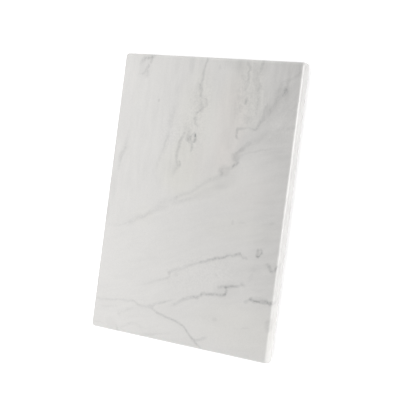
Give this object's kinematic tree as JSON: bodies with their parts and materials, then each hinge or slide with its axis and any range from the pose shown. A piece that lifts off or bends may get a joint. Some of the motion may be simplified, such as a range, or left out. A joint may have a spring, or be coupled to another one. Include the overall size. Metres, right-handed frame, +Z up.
{
  "type": "chopping board",
  "caption": "Rectangular marble chopping board: a flat stone slab with rounded edges, standing on small rubber feet stuck to its underside.",
  "frame": {"origin": "on the worktop, under the centre of the board", "axes": "+Z up out of the work face, +Y along the long side, +X along the short side"},
  "size_m": [0.3, 0.4, 0.0189],
  "materials": {
    "marble": "satin",
    "foot_rubber": "matte",
    "adhesive": "matte"
  },
  "bodies": {
    "root": {"marble_slab": "marble", "rubber_foot_front_left": "foot_rubber", "rubber_foot_front_right": "foot_rubber", "rubber_foot_rear_left": "foot_rubber", "rubber_foot_rear_right": "foot_rubber", "adhesive_disc_front_left": "adhesive", "adhesive_disc_front_right": "adhesive", "adhesive_disc_rear_left": "adhesive", "adhesive_disc_rear_right": "adhesive"}
  },
  "joints": []
}
